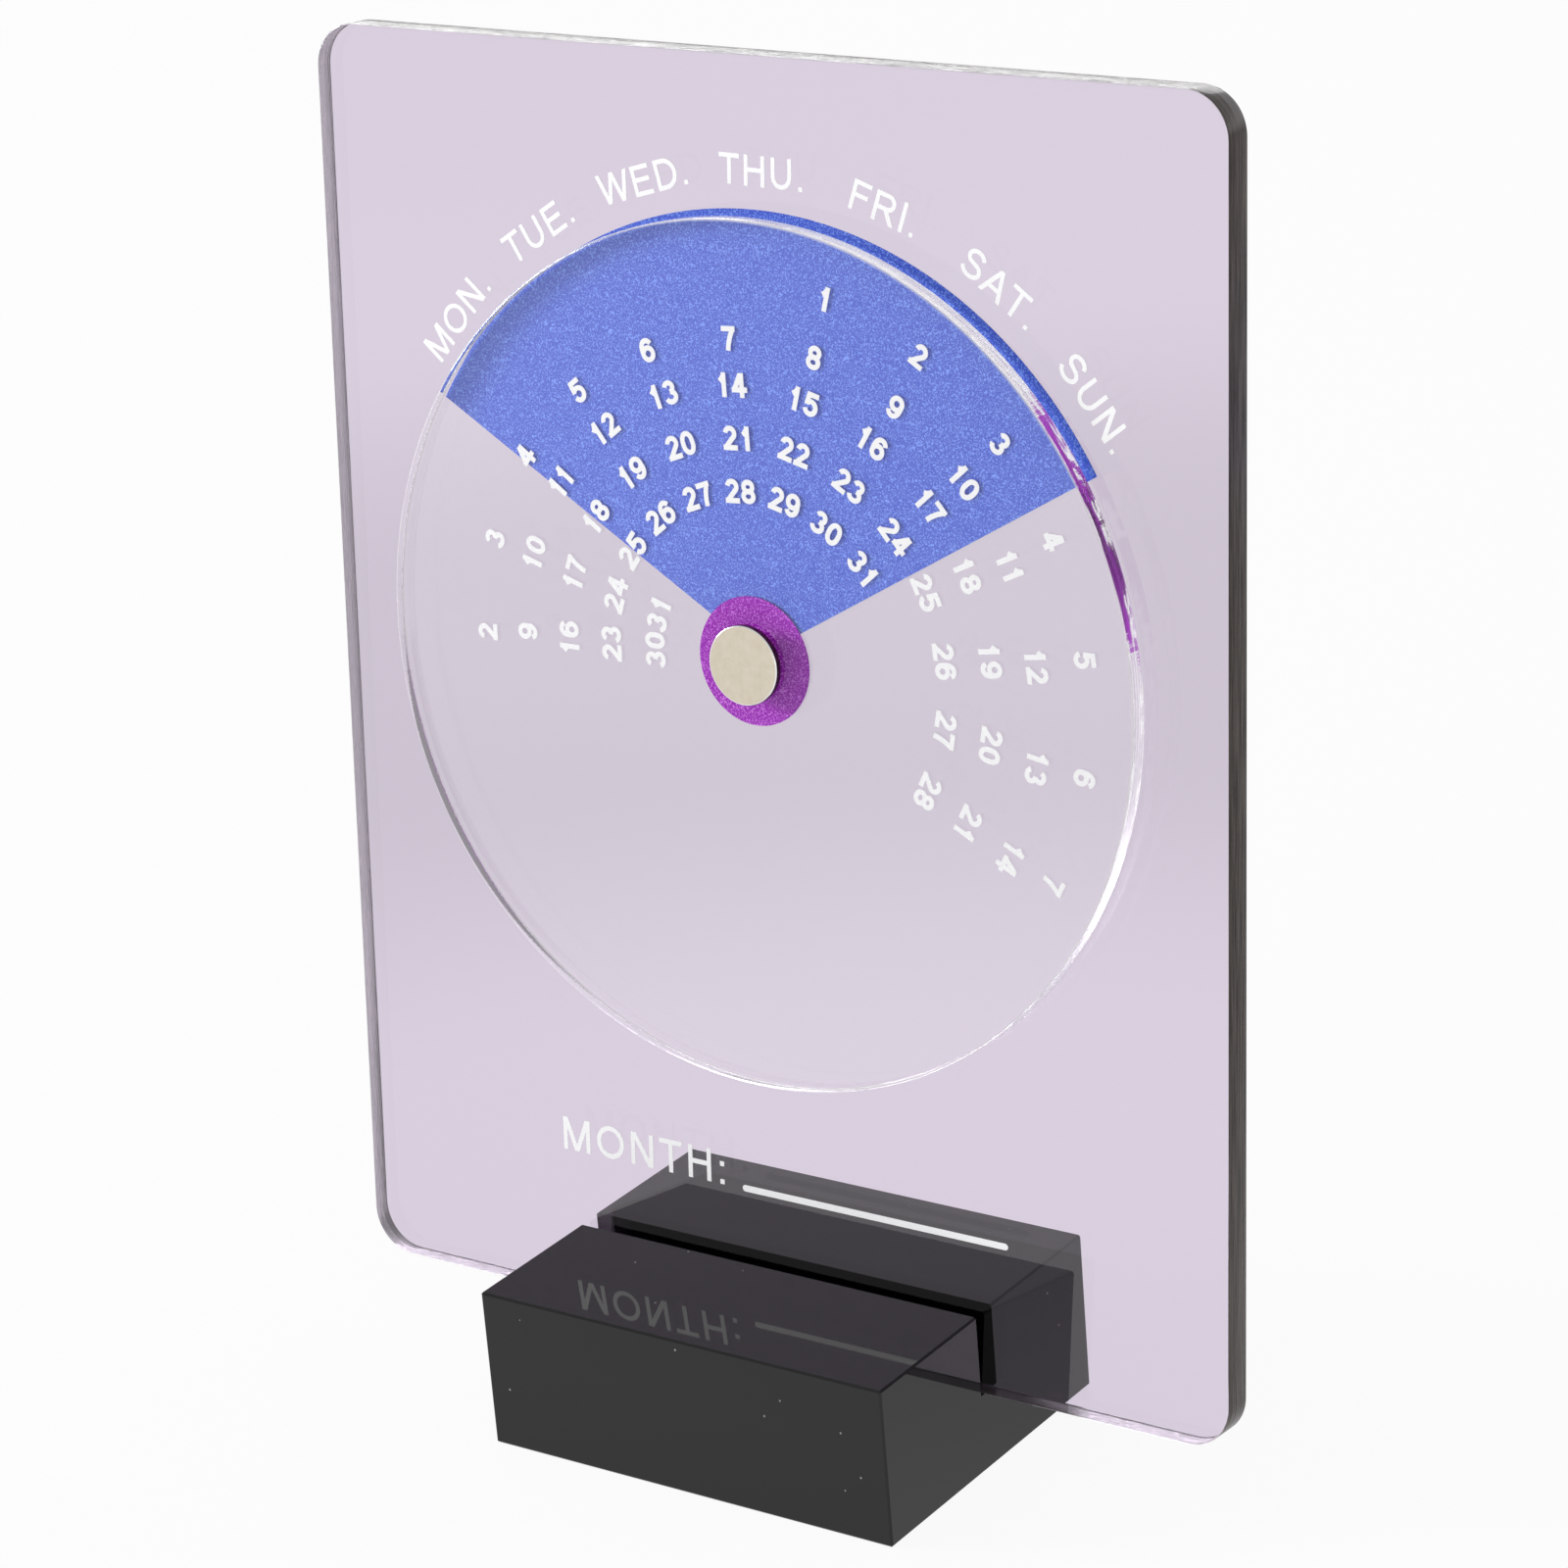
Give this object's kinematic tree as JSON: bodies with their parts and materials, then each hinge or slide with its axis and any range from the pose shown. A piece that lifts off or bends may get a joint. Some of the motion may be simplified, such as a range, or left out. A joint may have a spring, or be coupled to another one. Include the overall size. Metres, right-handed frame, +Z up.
{
  "type": "perpetual calendar",
  "caption": "Clear upright panel standing in a slotted black block, with a clear round date disc that turns on a metal hub under a printed fan of weekdays.",
  "frame": {"origin": "centre of the block's bottom face, on the surface it stands on", "axes": "+Z up, the printed face looks towards -Y, +X to its reader's right"},
  "size_m": [0.15, 0.0556, 0.1997],
  "materials": {
    "black_acrylic": "polished",
    "clear_acrylic_panel": "polished, clear with a pale lavender tint",
    "clear_acrylic_disc": "polished, clear",
    "blue_ink": "printed, satin",
    "purple_ink": "printed, satin",
    "nickel_plate": "satin nickel plate"
  },
  "bodies": {
    "base": {"base_block": "black_acrylic"},
    "panel": {"panel": "clear_acrylic_panel", "fan_print": "blue_ink", "hub_post": "nickel_plate", "hub_screw": "nickel_plate"},
    "dial": {"date_disc": "clear_acrylic_disc", "hub_print": "purple_ink"}
  },
  "joints": [
    {"name": "panel_lift", "type": "slide", "parent": "base", "child": "panel", "axis": [0, 0, 1], "range_m": [0, 0.03]},
    {"name": "dial_turn", "type": "hinge", "parent": "panel", "child": "dial", "pos_m": [0, 0.00451, 0.11565], "axis": [0, -0.9958, 0.0916], "continuous": true}
  ]
}
